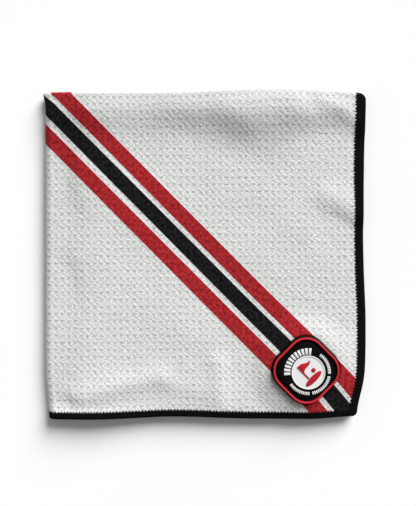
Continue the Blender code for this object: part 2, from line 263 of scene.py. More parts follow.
def ridge(x, y):
    """The ridge below the top fold, steeper on its lower side than towards the fold."""
    crest = profile(x, *CREST)
    reach = np.where(y > crest, RIDGE_BACK, profile(x, *RIDGE_FOOT))
    full = ease(x, -50, 36) * ease(-x, -84, -54)  # the middle of the ridge, right of the towel's middle
    near_fold = 1 - 0.22 * ease(y, 95, 104)
    near_left = 0.3 + 0.7 * ease(x - LEFT / MM, 0, 30)
    return (RIDGE_LOW + RIDGE_RISE * full * near_fold) * bump(y, crest, reach) * near_left


def swell(x, y):
    """The swell beside the left fold: the layer rises towards the fold and drops again at it."""
    rise = profile(y, *LEFT_RISE) * ease(-x, 30, 72)
    fall = 0.5 * ease(-x, 75, 88) + 0.6 * ease(-x, 74, 102)
    return profile(y, *LEFT_STEP) * (rise - fall)


def edges(x, y):
    """What the right and the bottom edge add to the layer's height."""
    at_right, at_bottom = 1 - ease(RIGHT / MM - x, 0, 14), 1 - ease(y - BOTTOM / MM, 0, 10)
    return profile(x, *BOTTOM_LIFT) * at_bottom - profile(y, *RIGHT_SAG) * at_right


def wrinkle(x, y, start, end, reach):
    """A hump one high along the crest from start to end."""
    (x0, y0), (x1, y1) = start, end
    length = math.hypot(x1 - x0, y1 - y0)
    share = np.clip(((x - x0) * (x1 - x0) + (y - y0) * (y1 - y0)) / length**2, 0, 1)
    away = np.hypot(x - x0 - share * (x1 - x0), y - y0 - share * (y1 - y0))
    return bump(away, 0, reach)


def lift(x, y):
    """How far the soft top layer stands off the pile at a point of the towel seen from above.

    Its weight presses it down, and it rises over a ridge below the top fold, beside the left fold, at
    creases and at the patch.
    """
    x, y = x / MM, y / MM
    stray, size = BEND
    x, y = x + stray * noise(x, y, size, seed=13), y + stray * noise(x, y, size, seed=14)
    height = ridge(x, y) - SETTLED + swell(x, y) + edges(x, y)
    for (much, size), seed in ((UNEVEN_BROAD, 11), (UNEVEN_FINE, 12)):
        height = height + much * noise(x, y, size, seed)
    for start, end, reach, rise in WRINKLES:
        height = height + rise * wrinkle(x, y, start, end, reach)
    room = height + LOWEST
    height = (room + np.hypot(room, SOFTNESS)) / 2 - LOWEST
    held = 1 - ease(np.hypot(x - PATCH.x / MM, y - PATCH.y / MM), *PATCH_HOLD)
    return (height * (1 - held) + PATCH_PLATEAU * held) * MM


def collar(x, y):
    """The cloth's swell round the patch, which presses into the soft pile."""
    across, along = x - PATCH.x, y - PATCH.y
    straight = RIM_SIDE / 2 - RIM_CORNER
    sides = (along + across, along - across)
    away = np.hypot(*[np.maximum(abs(side) / math.sqrt(2) - straight, 0) for side in sides]) - RIM_CORNER
    return COLLAR * ease(away, COLLAR_FOOT, COLLAR_CREST) * (1 - ease(away, COLLAR_CREST, COLLAR_REACH))


def relax(x, y):
    """The slight waviness of the folded towel's outline, as new x and y."""
    x, y = x / MM, y / MM
    low, high = ease(-y, 60, 104), ease(y, 60, 104)
    dx = profile(y, *RIGHT_SWAY) * ease(x, 20, 100)
    dy = high * profile(x, *TOP_SWAY) + low * profile(x, *BOTTOM_SWAY)
    # The lower corners and the upper right one are drawn in, and the upper left one is pulled out.
    dx = dx + low**2 * (2.5 * ease(-x, 60, 100) - 5.0 * ease(x, 40, 100))
    dx = dx - 1.5 * ease(y, 95, 104) * ease(-x, 92, 101)
    dy = dy + (1.6 * low - 0.8 * high) * ease(x, 70, 101)
    # The corner where the top fold meets the right edge is rounded off.
    near_side = np.clip((x - RIGHT / MM) / CORNER_WIDTH + 1, 0, 1)
    near_top = np.clip((y - TOP / MM) / CORNER_DEPTH + 1, 0, 1)
    dx = dx - CORNER_WIDTH * near_side * (1 - np.sqrt(1 - near_top**2 / 2))
    dy = dy - CORNER_DEPTH * near_top * (1 - np.sqrt(1 - near_side**2 / 2))
    dy = dy - 0.8 * near_top * ease(x, 92, 95.5)
    return (x + dx) * MM, (y + dy) * MM


def fold(u, v, h):
    """Place points of the flat cloth in the folded towel, as an array of shape (..., 3).

    u and v run from the sheet's centre, u right and v up, and h rises from its middle on the printed
    side. The upper half (v > 0) is turned under first, and then the left half (u < 0).
    """
    run_u, run_v = np.maximum(abs(u) - LEFT_ARC, 0), np.maximum(abs(v) - TOP_ARC, 0)
    roll = math.pi / 2 * (1 - np.clip(u / LEFT_ARC, -1, 1))
    turn = math.pi / 2 * (1 + np.clip(v / TOP_ARC, -1, 1))
    reach = PITCH / 2 + h
    radius = PITCH + reach * np.cos(turn)
    x = LEFT_CREASE + run_u - radius * np.sin(roll)
    y = TOP_CREASE - run_v + reach * np.sin(turn)
    level = radius * np.cos(roll)
    z = MIDDLE + level + HALF_GAP * np.clip(u / LEFT_ARC, -1, 1)
    # upper is 1 on the top layer, a third on the one below it, and 0 on the back half.
    upper = np.clip((PITCH + PITCH / 2 * np.cos(turn)) * np.cos(roll) / (1.5 * PITCH), 0, 1)
    z = z + lift(x, y) * upper
    x, y = relax(x, y)
    z = z + collar(x, y) * upper**2
    return np.stack([x, y, np.maximum(z, 0)], axis=-1)


def on_cloth(u, v):
    """u as the weaver sees it: the fold takes more cloth on the outer layers than on the inner ones."""
    turn = math.pi / 2 * (1 + np.clip(v / TOP_ARC, -1, 1))
    return u + np.clip(u, -LEFT_ARC, LEFT_ARC) * np.cos(turn) / 2


# Meshes of the cloth and its edge ---------------------------------------------------------------------


def mesh_object(name, points, quads, others=()):
    """An object from an array of points, an array of quads, and a list of faces with any corners."""
    corners = np.concatenate([quads.ravel(), np.array([i for face in others for i in face], int)])
    sizes = np.concatenate([np.full(len(quads), 4), np.array([len(face) for face in others], int)])
    starts = np.concatenate([[0], np.cumsum(sizes)[:-1]])
    mesh = bpy.data.meshes.new(name)
    mesh.vertices.add(len(points))
    mesh.vertices.foreach_set("co", np.asarray(points, np.float32).ravel())
    mesh.loops.add(len(corners))
    mesh.loops.foreach_set("vertex_index", corners.astype(np.int32))
    mesh.polygons.add(len(sizes))
    mesh.polygons.foreach_set("loop_start", starts.astype(np.int32))
    mesh.update(calc_edges=True)
    mesh.validate()
    mesh.shade_smooth()
    return linked(name, mesh)


def linked(name, data):
    """A new object of the scene that shows a mesh, light or camera."""
    made = bpy.data.objects.new(name, data)
    bpy.context.scene.collection.objects.link(made)
    return made


def add_attribute(obj, name, vectors):
    made = obj.data.attributes.new(name, "FLOAT_VECTOR", "POINT")
    made.data.foreach_set("vector", np.asarray(vectors, np.float32).ravel())


def grid_quads(index):
    """Quads between the points of a grid, given the grid of their indexes."""
    quads = np.stack([index[:-1, :-1], index[1:, :-1], index[1:, 1:], index[:-1, 1:]], axis=-1)
    return quads.reshape(-1, 4)


def ring_quads(count, sides):
    """Quads of a tube that closes on itself, with count rings of sides points each."""
    index = np.arange(count * sides).reshape(count, sides)
    after, beside = np.roll(index, -1, axis=0), np.roll(index, -1, axis=1)
    return np.stack([index, beside, np.roll(after, -1, axis=1), after], axis=-1).reshape(-1, 4)


def sheet_lines(length, step, first_step, growth):
    """Distances from a crease to the cut edge, close together at the crease and step apart further on."""
    lines, width = [0.0], first_step
    while lines[-1] + width < CREASE_REACH:
        lines.append(lines[-1] + width)
        width = min(width * growth, step)
    count = max(1, round((length - lines[-1]) / step))
    return np.concatenate([lines, np.linspace(lines[-1], length, count + 1)[1:]])


def stripe_cover(u, v):
    """How much of each point is printed, from 0 to 1."""
    away = -u * math.sin(STRIPE_TURN) - v * math.cos(STRIPE_TURN)
    along = abs(u * math.cos(STRIPE_TURN) - v * math.sin(STRIPE_TURN))
    cover = np.zeros_like(away)
    for _, middle, half in STRIPES:
        distance = abs(away - middle * MM - STRIPE_DRIFT * along)
        outside = distance - half * MM - STRIPE_GROWTH * along
        cover = np.maximum(cover, 1 - ease(outside, -0.3 * MM, 0.5 * MM))
    return cover


def mark_height(u, v, mark):
    """Height from 0 to 1 over the nearest loop or pit of one kind."""
    (middle_u, middle_v), lean, length, width = mark
    x = (u / CELL_U - middle_u + 0.5) % 1 * CELL_U - CELL_U / 2
    y = (v / CELL_V - middle_v + 0.5) % 1 * CELL_V - CELL_V / 2
    c, s = math.cos(math.radians(lean)), math.sin(math.radians(lean))
    along, across = (x * c + y * s) / (length / 2), (y * c - x * s) / (width / 2)
    return np.exp(-((along**2) ** BLUNTNESS + across**2))


def wander(u, v, seed):
    """How far the weave strays from a perfect grid."""
    (far, broad), (near, fine) = WANDER
    return far * noise(u, v, broad, seed) + near * noise(u, v, fine, seed + 1)


def waffle(u, v):
    """Depth below the tops of the loops, and what the material paints light and shade from: the two loops
    and the pit.

    Each cell holds a loop that leans left, a steeper one that leans right, and a pit between them.
    """
    u = u + wander(u, v, seed=31)
    v = v + wander(u, v, seed=33)
    flat_loop, steep_loop = mark_height(u, v, FLAT_LOOP), mark_height(u, v, STEEP_LOOP)
    uneven = 1 + PIT_UNEVEN[0] * noise(u, v, PIT_UNEVEN[1], seed=35)
    fuzz = sum(much * noise(u, v, size, seed) for (much, size), seed in zip(FUZZ, (37, 38)))
    pit = np.maximum(mark_height(u, v, PIT_BRIM), mark_height(u, v, PIT_TAIL)) * uneven
    hill = np.maximum(FLAT_LOOP_HEIGHT * flat_loop, steep_loop)
    hollow = np.clip(LOOP_SHARE * (1 - hill) + PIT_SHARE * pit + fuzz, 0, DEEPEST)
    return WAFFLE_DEPTH * hollow, np.stack([flat_loop, steep_loop, pit], axis=-1)


def cloth_lines():
    """The places of the mesh's lines on the flat sheet, in u and in v."""
    width, height = HALF_WIDTH - CUT_INSET, HALF_HEIGHT - CUT_INSET
    right = sheet_lines(width, FINE, CREASE_STEP, CREASE_GROWTH)
    left = sheet_lines(width, COARSE, CREASE_STEP, CREASE_GROWTH)
    below = sheet_lines(height, FINE, FOLD_STEP, FOLD_GROWTH)
    above = sheet_lines(height, COARSE, FOLD_STEP, FOLD_GROWTH)
    return np.concatenate([-left[:0:-1], right]), np.concatenate([-below[::-1], above[1:]])


def thinned(lines):
    """The indexes of the lines that the plain side has too."""
    return np.r_[0 : len(lines) - 1 : THINNING, len(lines) - 1]


def cut_faces(outer, under, thin_u, thin_v):
    """Faces along the cut edge, from the grids of indexes of the printed side and the plain side."""
    faces = []
    for line, thin, under_line, turned in (
        (outer[:, 0], thin_u, under[:, 0], False),
        (outer[:, -1], thin_u, under[:, -1], True),
        (outer[0, :], thin_v, under[0, :], True),
        (outer[-1, :], thin_v, under[-1, :], False),
    ):
        for k in range(len(thin) - 1):
            face = [under_line[k], under_line[k + 1], *line[thin[k] : thin[k + 1] + 1][::-1]]
            faces.append(face[::-1] if turned else face)
    return faces


def make_cloth():
    """The whole sheet as one mesh, with relief on its printed side and a coarser plain side."""
    us, vs = cloth_lines()
    u, v = np.meshgrid(us, vs, indexing="ij")
    woven = on_cloth(u, v)
    depth, weave = waffle(woven, v)
    # The relief is lower on the print, and where the cloth is stretched over the folds.
    printed = stripe_cover(woven, v)
    stretched = FOLD_FLATTENS * bump(v, 0, FOLD_REACH)
    depth = depth * (1 - PRINT_FLATTENS * printed) * (1 - stretched) * ease(abs(u), *CREASE_SMOOTH)
    # The print takes away part of the painted light and shade of the weave.
    weave *= 1 - PRINT_HIDES_PAINTED_LIGHT * printed[..., None]
    # The cloth thins as it enters the band.
    room = np.minimum(HALF_WIDTH - SIDE_BAND - abs(u), HALF_HEIGHT - END_BAND - abs(v))
    free = ease(room, *LIP_PLACE)
    half = LIP + (CLOTH / 2 - LIP) * free
    outer = fold(u, v, half - depth * free)

    thin_u, thin_v = thinned(us), thinned(vs)
    cross = np.ix_(thin_u, thin_v)
    under = fold(u[cross], v[cross], -half[cross])
    outer_index = np.arange(u.size).reshape(u.shape)
    under_index = u.size + np.arange(half[cross].size).reshape(half[cross].shape)
    points = np.concatenate([outer.reshape(-1, 3), under.reshape(-1, 3)])
    quads = np.concatenate([grid_quads(outer_index), grid_quads(under_index)[:, ::-1]])
    cloth = mesh_object("towel_cloth", points, quads, cut_faces(outer_index, under_index, thin_u, thin_v))

    place = np.stack([woven, v, np.zeros_like(u)], axis=-1)
    under_place = place[cross] + np.array([0, 0, PLAIN_MARK])
    add_attribute(cloth, "cloth_place", np.concatenate([place.reshape(-1, 3), under_place.reshape(-1, 3)]))
    # weave holds the loops and the pit, which the material turns into painted light and shade.
    add_attribute(cloth, "weave", np.concatenate([weave.reshape(-1, 3), weave[cross].reshape(-1, 3)]))
    return cloth


def run_lines(a, b):
    """Shares along the run from a to b, closer together where it crosses a crease."""
    length = np.linalg.norm(b - a)
    lines = sheet_lines(length / 2, EDGE_STEP, CREASE_STEP, CREASE_GROWTH)
    return 0.5 + np.concatenate([-lines[:0:-1], lines])[:-1] / length


def edge_path():
    """Points, inward normals and stitches so far along the cut edge: a rectangle with rounded corners."""
    reach_u, reach_v = HALF_WIDTH - BAND_CORNER, HALF_HEIGHT - BAND_CORNER
    pieces = []
    corners = ((1, -1, -90), (1, 1, 0), (-1, 1, 90), (-1, -1, 180))
    for (side_u, side_v, start), (next_u, next_v, _) in zip(corners, corners[1:] + corners[:1]):
        angles = np.radians(start + 90 * np.arange(CORNER_STEPS) / CORNER_STEPS)
        outward = np.stack([np.cos(angles), np.sin(angles)], axis=-1)
        centre = np.array([side_u * reach_u, side_v * reach_v])
        pieces.append((centre + BAND_CORNER * outward, -outward))
        end = math.radians(start + 90)
        out = np.array([math.cos(end), math.sin(end)])
        a = centre + BAND_CORNER * out
        b = np.array([next_u * reach_u, next_v * reach_v]) + BAND_CORNER * out
        lines = run_lines(a, b)
        pieces.append((a + (b - a) * lines[:, None], np.repeat(-out[None], len(lines), axis=0)))
    points, inward = (np.concatenate([piece[k] for piece in pieces]) for k in (0, 1))
    steps = np.linalg.norm(np.roll(points, -1, axis=0) - points, axis=1)
    along = np.concatenate([[0], np.cumsum(steps)[:-1]])
    return points, inward, along / steps.sum() * round(steps.sum() / STITCH)


def band_width(points, inward):
    """The band's width at points of the cut edge, a little more where a side runs over the fold."""
    side = SIDE_BAND + FOLD_EXTRA * (1 - ease(abs(points[:, 1]), 45 * MM, 80 * MM))
    return side * abs(inward[:, 0]) + END_BAND * (1 - abs(inward[:, 0]))


def tooth_wave(phase):
    """One rounded tooth for each stitch, from 0 to 1."""
    return (0.5 + 0.5 * np.cos(2 * math.pi * phase)) ** 1.3


def wrap(name, rows):
    """A tube along the cut edge, from the rows of points along it: their places on the sheet and heights.

    The rows go round the tube from its inner side over its top.
    """
    places, heights = (np.stack([row[k] for row in rows], axis=1) for k in (0, 1))
    folded = fold(places[..., 0], places[..., 1], heights)
    return mesh_object(name, folded.reshape(-1, 3), ring_quads(*heights.shape))


def make_band():
    """The overlocked edge as one closed strip: looper thread wrapped round the cut edge."""
    points, inward, phase = edge_path()
    width = band_width(points, inward)
    under = [(share, -height) for share, height in reversed(BAND_SECTION)]
    section = [*BAND_SECTION, (0, 0), *under]
    rows = []
    for share, height in section:
        tooth = TOOTH * ease(share, 0.8, 1.0) * (tooth_wave(phase) - TOOTH_ROOT)
        ripple = RIPPLE * np.cos(2 * math.pi * (2 * phase + RIPPLE_LEAN * share)) * np.sign(height)
        inset = share * width + tooth
        rise = height * CLOTH / 2 + ripple * ease(abs(height), 0.3, 0.9)
        rows.append((points + inward * inset[:, None], rise))
    return wrap("edge_band", rows)


def make_needle_thread():
    """The needle thread's stitches, which dip into the cloth once a stitch along the band's inner line."""
    points, inward, phase = edge_path()
    width = band_width(points, inward)
    dip = STRAND_DIP * np.cos(2 * math.pi * phase)
    rows = []
    for k in range(STRAND_SIDES):
        turn = 2 * math.pi * k / STRAND_SIDES
        inset = width + STRAND_INSET + STRAND * math.cos(turn)
        height = CLOTH / 2 - STRAND_DEPTH + dip + STRAND * math.sin(turn)
        rows.append((points + inward * inset[:, None], height))
    return wrap("needle_thread", rows)


# Meshes of the patch ----------------------------------------------------------------------------------


def ring(corner, reach, height, middle=(0, 0)):
    """Points round a square with rounded corners, whose centres are reach away from its middle lines."""
    points = []
    for quarter in range(4):
        centre = Matrix.Rotation(quarter * math.pi / 2, 2) @ Vector((reach, reach)) + Vector(middle)
        for step in range(RING_STEPS + 1):
            angle = (quarter + step / RING_STEPS) * math.pi / 2
            x, y = centre.x + corner * math.cos(angle), centre.y + corner * math.sin(angle)
            points.append(Vector((x, y, height)))
    return points


def outline(inset, height):
    """The rim's outline moved in by inset."""
    return ring(RIM_CORNER - inset, RIM_SIDE / 2 - RIM_CORNER, height)


def circle(radius, height, middle=(0, 0)):
    return ring(radius, 0, height, middle)


def in_metres(path):
    return [(first * MM, second * MM) for first, second in path]


def rounded(path, radius, steps=3, closed=False):
    """Round the corners of a path of (inset, height) pairs, given in millimetres, and return metres."""
    result = []
    path, radius = in_metres(path), radius * MM
    for i, point in enumerate(path):
        if not closed and i in (0, len(path) - 1):
            result.append(point)
            continue
        here, before, after = Vector(point), Vector(path[i - 1]), Vector(path[(i + 1) % len(path)])
        room = min(radius, (here - before).length * 0.45, (after - here).length * 0.45)
        start = here + (before - here).normalized() * room
        end = here + (after - here).normalized() * room
        for step in range(steps + 1):
            t = step / steps
            result.append(tuple(start * (1 - t) ** 2 + here * 2 * t * (1 - t) + end * t * t))
    return result


def skin(loops, around=False):
    """A closed skin through loops of equally many points, which ends in flat faces or runs around."""
    bm = bmesh.new()
    rings = [[bm.verts.new(point) for point in loop] for loop in loops]
    for here, after in zip(rings, rings[1:] + (rings[:1] if around else [])):
        for i, vert in enumerate(here):
            j = (i + 1) % len(here)
            bm.faces.new((vert, here[j], after[j], after[i]))
    if not around:
        bm.faces.new(rings[0])
        bm.faces.new(rings[-1])
    bmesh.ops.remove_doubles(bm, verts=bm.verts, dist=MERGE)
    bmesh.ops.recalc_face_normals(bm, faces=bm.faces)
    return bm


def slabs(outlines, low, high):
    """Bars or figures from (x, y) outlines, with their upper edges rounded."""
    bm = bmesh.new()
    for points in outlines:
        lower = [bm.verts.new((x, y, low)) for x, y in points]
        upper = [bm.verts.new((x, y, high)) for x, y in points]
        bm.faces.new(lower[::-1])
        bm.faces.new(upper)
        for i in range(len(points)):
            j = (i + 1) % len(points)
            bm.faces.new((lower[i], lower[j], upper[j], upper[i]))
    tops = [e for e in bm.edges if all(abs(vert.co.z - high) < 1e-7 for vert in e.verts)]
    bmesh.ops.recalc_face_normals(bm, faces=bm.faces)
    bmesh.ops.bevel(bm, geom=tops, offset=MARK_EDGE, segments=2, profile=0.5, affect="EDGES")
    return bm


def patch_piece(name, bm, matrix):
    """An object of the patch, moved into place by matrix."""
    bmesh.ops.transform(bm, matrix=matrix, verts=bm.verts)
    mesh = bpy.data.meshes.new(name)
    bm.to_mesh(mesh)
    bm.free()
    mesh.shade_smooth()
    mesh.set_sharp_from_angle(angle=SHARP)
    return linked(name, mesh)


def polar(radius, degrees):
    return radius * math.cos(math.radians(degrees)), radius * math.sin(math.radians(degrees))


def bar_outlines(inner, outer, start, end, bars):
    pitch = (end - start) / (bars - BAR_GAP)
    found = []
    for bar in range(bars):
        left = start + bar * pitch
        right = left + pitch * (1 - BAR_GAP)
        found.append([polar(inner, right), polar(outer, right), polar(outer, left), polar(inner, left)])
    return found


def motif_outlines():
    """A plain golf flag, its pole, a green and a ball, in millimetres round the disc's middle."""
    pole = [(-2.9, -3.0), (-1.9, -3.0), (-1.9, 7.4), (-2.9, 7.4)]
    wave = [k / 8 for k in range(9)]
    upper = [(-1.85 + 7.8 * t, 7.2 - 2.2 * t + 0.5 * math.sin(2 * math.pi * t)) for t in wave]
    lower = [(-1.85 + 7.8 * t, 1.8 + 2.6 * t + 0.5 * math.sin(2 * math.pi * t)) for t in wave]
    green = [(6.6 * x - 0.3, 1.9 * y - 5.1) for x, y in (polar(1, turn) for turn in range(0, 360, 10))]
    ball = [(x + 3.4, y - 1.2) for x, y in (polar(1.35, turn) for turn in range(0, 360, 15))]
    return {"motif_pole": pole, "motif_flag": lower + upper[::-1], "motif_green": green, "motif_ball": ball}


def patch_skins(spot):
    """Name, skin, material slot and CAD node of each moulding; spot is the disc's middle."""
    pocket = [circle(radius, height) for radius, height in in_metres(MAGNET_POCKET)]
    wall = [outline(inset, height) for inset, height in rounded(BODY_SECTION, 0.3)]
    seat = [circle(radius, height, spot) for radius, height in in_metres(DISC_SEAT)]
    yield "patch_body_moulding", skin(pocket + wall + seat), "black_soft_rubber", "patch_body"
    rim = [outline(inset, height) for inset, height in rounded(RIM_SECTION, 0.4, 4, closed=True)]
    yield "patch_rim_moulding", skin(rim, around=True), "red_soft_rubber", "patch_rim"
    halo = [circle(radius, height, spot) for radius, height in rounded(HALO_SECTION, 0.2, closed=True)]
    yield "disc_halo_moulding", skin(halo, around=True), "white_soft_rubber", "disc_halo"
    face = [circle(radius, height, spot) for radius, height in rounded(DISC_SECTION, 0.2)]
    yield "white_disc_moulding", skin(face), "white_soft_rubber", "white_disc"


def patch_marks():
    """Name, raised shape, material slot and CAD node of each row of bars and each part of the motif."""
    for name, (inner, outer, start, end, bars, node) in BAR_ROWS.items():
        outlines = bar_outlines(inner * MM, outer * MM, start, end, bars)
        yield name, slabs(outlines, *BAR_HEIGHTS), "white_soft_rubber", node
    for node, points in motif_outlines().items():
        yield f"{node}_moulding", slabs([in_metres(points)], *MOTIF_HEIGHTS), "red_soft_rubber", node


def sewing_thread():
    inset, height = CHANNEL_THREAD
    round_middle = [polar(CHANNEL_THREAD_RADIUS, turn) for turn in range(0, 360, 60)]
    section = in_metres([(inset + x, height + y) for x, y in round_middle])
    return skin([outline(*pair) for pair in section], around=True)


def make_patch():
    """Every piece of the patch, as a list of (object, material slot, CAD node that it stands for)."""
    place = Matrix.Translation(PATCH) @ Matrix.Rotation(PATCH_ANGLE, 4, "Z")
    spot = (Matrix.Rotation(-PATCH_ANGLE, 4, "Z") @ Vector((DISC.x, DISC.y, 0))).xy
    on_disc = place @ Matrix.Translation((*spot, 0))
    pieces = [(patch_piece(name, bm, place), slot, node) for name, bm, slot, node in patch_skins(spot)]
    pieces += [(patch_piece(name, bm, on_disc), slot, node) for name, bm, slot, node in patch_marks()]
    stitching = patch_piece("patch_stitching", sewing_thread(), place)
    return pieces + [(stitching, "needle_thread", "patch_sewing_thread")]


# Materials --------------------------------------------------------------------------------------------
# A scale is how many features there are to a metre, a grain is the depth of a bump in metres, and a pair
# of colours is the darker and the lighter one.

WHITE_CLOTH = ((0.70, 0.71, 0.695), (0.74, 0.75, 0.735))
PRINTS = {
    "red": ((0.24, 0.011, 0.015), (0.52, 0.033, 0.039)),
    "black": ((0.002, 0.002, 0.0025), (0.018, 0.018, 0.019)),
}
PRINT_MOTTLE = {"red": (0.28, 0.72), "black": (0.3, 0.7)}  # the noise's values that get the two colours
PRINT_SOFTNESS = 0.12  # of a stripe's edge, in millimetres
FRAY = 0.35 * MM  # how far the stripes' edges stray
PILE_LEAN, PILE_LENGTH, PILE_WIDTH = 45, 1.25 * MM, 0.62 * MM  # of the fine loops of the microfibre
PILE_PAINTED_LIGHT = (1.13, 0.76)  # painted light at the middle of a fine loop to painted shade in the gap beside it
FIBRE_LIGHT = (0.88, 1.12)
# Painted light and shade of the waffle: a level, how much lighter the two loops are painted, and how much
# darker the pit.
PAINTED_LIGHT_LEVEL, FLAT_LOOP_PAINTED_LIGHT, STEEP_LOOP_PAINTED_LIGHT, PIT_PAINTED_SHADE = 0.91, 0.14, 0.24, 0.22
WHITE_SCALE, MOTTLE_SCALE, FRAY_SCALE, FIBRE_SCALE = 60, 480, 900, 1900
CLOTH_GRAIN = 0.16 * MM

LOOPER_BLACK = (0.0025, 0.0025, 0.0029)
NEEDLE_BLACK = (0.005, 0.005, 0.0055)
PATCH_THREAD_BLACK = (0.012, 0.012, 0.013)
THREAD_RANGE = (0.5, 1.7)  # from its darkest to its lightest, as shares of its colour
THREAD_SCALE, THREAD_GRAIN = 2600, 0.08 * MM

RUBBER_BLACK = (0.0016, 0.0016, 0.0019)
RUBBER_RED = (0.56, 0.017, 0.028)
MOTIF_RED = (0.43, 0.012, 0.02)
RUBBER_WHITE = (0.76, 0.76, 0.745)
RUBBER_CLOUD_SCALE, RUBBER_SCALE, RUBBER_GRAIN = 180, 3500, 0.02 * MM
RUBBER_ROUGHNESS = (0.5, 0.62)

FELT = ((0.015, 0.015, 0.015), (0.05, 0.05, 0.05))
FELT_SCALE, FELT_GRAIN = 1800, 0.1 * MM
NICKEL = ((0.55, 0.53, 0.5), (0.72, 0.7, 0.66))
NICKEL_SCALE, NICKEL_ROUGHNESS = 900, (0.2, 0.36)
FLOOR = ((0.93, 0.93, 0.93), (0.95, 0.95, 0.95))
FLOOR_SCALE = 9


class Nodes:
    """A short way to write a material's node tree."""

    def __init__(self, name):
        self.material = bpy.data.materials.new(name)
        self.material.use_nodes = True
        self.tree = self.material.node_tree
        self.shader = self.tree.nodes["Principled BSDF"]

    def set(self, **values):
        """Set the shader's own sockets; an underscore stands for a space."""
        for name, value in values.items():
            self.shader.inputs[name.replace("_", " ")].default_value = value

    def feed(self, name, source):
        self.put(self.shader.inputs[name], source)

    def put(self, socket, value):
        if isinstance(value, bpy.types.NodeSocket):
            self.tree.links.new(value, socket)
        else:
            socket.default_value = value

    def attribute(self, name):
        node = self.tree.nodes.new("ShaderNodeAttribute")
        node.attribute_name = name
        return node.outputs["Vector"]

    def apart(self, vector):
        node = self.tree.nodes.new("ShaderNodeSeparateXYZ")
        self.put(node.inputs[0], vector)
        return node.outputs

    def maths(self, operation, *values):
        node = self.tree.nodes.new("ShaderNodeMath")
        node.operation = operation
        for socket, value in zip(node.inputs, values):
            self.put(socket, value)
        return node.outputs[0]

    def add(self, first, second):
        return self.maths("ADD", first, second)

    def less(self, first, second):
        return self.maths("SUBTRACT", first, second)

    def times(self, first, second):
        return self.maths("MULTIPLY", first, second)

    def range(self, value, low, high, to_low=0.0, to_high=1.0, smooth=True):
        node = self.tree.nodes.new("ShaderNodeMapRange")
        node.interpolation_type = "SMOOTHSTEP" if smooth else "LINEAR"
        for socket, given in zip(node.inputs, (value, low, high, to_low, to_high)):
            self.put(socket, given)
        return node.outputs[0]

    def noise(self, vector, scale, detail=2.0, roughness=0.5):
        node = self.tree.nodes.new("ShaderNodeTexNoise")
        self.put(node.inputs["Vector"], vector)
        node.inputs["Scale"].default_value = scale
        node.inputs["Detail"].default_value = detail
        node.inputs["Roughness"].default_value = roughness
        return node.outputs["Fac"]

    def loops(self, vector, degrees, length, width):
        """Distance from the middle of the nearest thread loop, 0 at the middle; loops lean by degrees."""
        turned = self.tree.nodes.new("ShaderNodeMapping")
        turned.vector_type = "TEXTURE"
        turned.inputs["Rotation"].default_value = (0, 0, math.radians(degrees))
        turned.inputs["Scale"].default_value = (length, width, 1)
        self.put(turned.inputs["Vector"], vector)
        node = self.tree.nodes.new("ShaderNodeTexVoronoi")
        node.voronoi_dimensions = "2D"
        node.inputs["Scale"].default_value = 1
        self.put(node.inputs["Vector"], turned.outputs[0])
        return node.outputs["Distance"]

    def mix(self, share, first, second, kind="MIX"):
        node = self.tree.nodes.new("ShaderNodeMix")
        node.data_type = "RGBA"
        node.blend_type = kind
        self.put(node.inputs["Factor"], share)
        self.put(node.inputs["A"], first)
        self.put(node.inputs["B"], second)
        return node.outputs["Result"]

    def between(self, share, colours):
        return self.mix(share, rgb(*colours[0]), rgb(*colours[1]))

    def bump(self, height, distance):
        node = self.tree.nodes.new("ShaderNodeBump")
        node.inputs["Strength"].default_value = 1.0
        node.inputs["Distance"].default_value = distance
        self.put(node.inputs["Height"], height)
        self.feed("Normal", node.outputs["Normal"])

    def object_place(self):
        return self.tree.nodes.new("ShaderNodeTexCoord").outputs["Object"]


def rgb(red, green, blue):
    return (red, green, blue, 1)


def varied(colour, darker, lighter):
    """A pair of colours from one."""
    return tuple(tuple(share * c for c in colour) for share in (darker, lighter))


def printed_colour(n, place):
    """The white cloth's colour with the stripes over it."""
    u, v, side = n.apart(place)
    cosine, sine = math.cos(STRIPE_TURN), math.sin(STRIPE_TURN)
    away = n.less(n.times(u, -sine), n.times(v, cosine))
    along = n.maths("ABSOLUTE", n.less(n.times(u, cosine), n.times(v, sine)))
    fray = n.times(n.less(n.noise(place, FRAY_SCALE), 0.5), FRAY)
    away = n.add(n.less(away, n.times(along, STRIPE_DRIFT)), fray)
    printed_side = n.range(side, 0.6 * PLAIN_MARK, 0.4 * PLAIN_MARK)
    mottle = n.noise(place, MOTTLE_SCALE, 3, 0.6)
    prints = {name: n.between(n.range(mottle, *PRINT_MOTTLE[name]), pair) for name, pair in PRINTS.items()}
    colour = n.between(n.noise(place, WHITE_SCALE), WHITE_CLOTH)
    for name, middle, half in STRIPES:
        distance = n.maths("ABSOLUTE", n.less(away, middle * MM))
        over = n.less(distance, n.times(along, STRIPE_GROWTH))
        cover = n.range(over, (half + PRINT_SOFTNESS) * MM, (half - PRINT_SOFTNESS) * MM)
        colour = n.mix(n.times(cover, printed_side), colour, prints[name])
    return colour


def painted_weave_light(n, pile, fibre):
    """Painted light and shade of the weave: the loops are painted lighter, as if lit, and the pits and the
    gaps in the pile darker, as if shaded; the fine fibres vary at random.
    """
    flat_loop, steep_loop, pit = n.apart(n.attribute("weave"))
    shade = n.add(PAINTED_LIGHT_LEVEL, n.times(flat_loop, FLAT_LOOP_PAINTED_LIGHT))
    shade = n.add(shade, n.times(steep_loop, STEEP_LOOP_PAINTED_LIGHT))
    shade = n.less(shade, n.times(pit, PIT_PAINTED_SHADE))
    shade = n.times(shade, n.range(pile, 0.1, 0.8, *PILE_PAINTED_LIGHT, smooth=False))
    return n.times(shade, n.range(fibre, 0.2, 0.8, *FIBRE_LIGHT, smooth=False))


